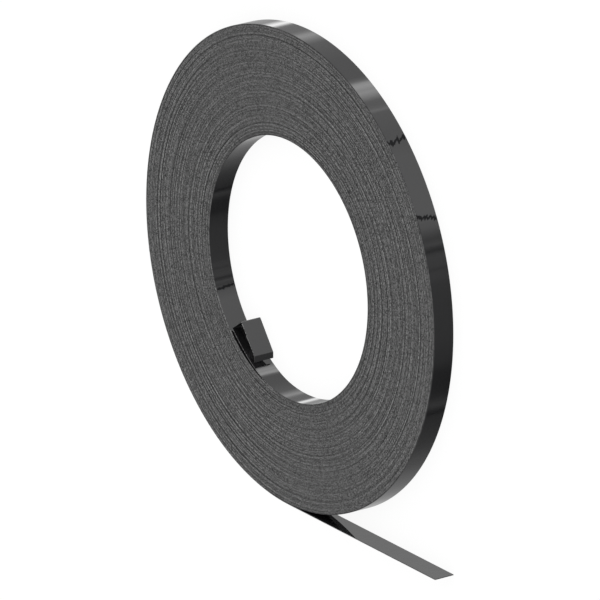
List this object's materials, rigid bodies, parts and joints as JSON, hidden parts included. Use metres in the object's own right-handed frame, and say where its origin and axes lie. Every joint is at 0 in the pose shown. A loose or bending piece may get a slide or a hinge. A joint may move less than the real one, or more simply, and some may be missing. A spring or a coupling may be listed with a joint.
{
  "type": "coil of steel strapping",
  "caption": "Ribbon-wound coil of black-painted steel strapping lying on one end, with its loose outer end running out straight and its inner end folded into a hook.",
  "frame": {"origin": "middle of the coil's lower end, on its axis", "axes": "+Z along the coil's axis, +X the way the loose outer end points"},
  "size_m": [0.5519, 0.5495, 0.0254],
  "materials": {
    "painted_strip": "gloss black paint on a smooth steel strip, slit edges darker and duller"
  },
  "bodies": {
    "root": {"strap_coil": "painted_strip"}
  },
  "joints": []
}
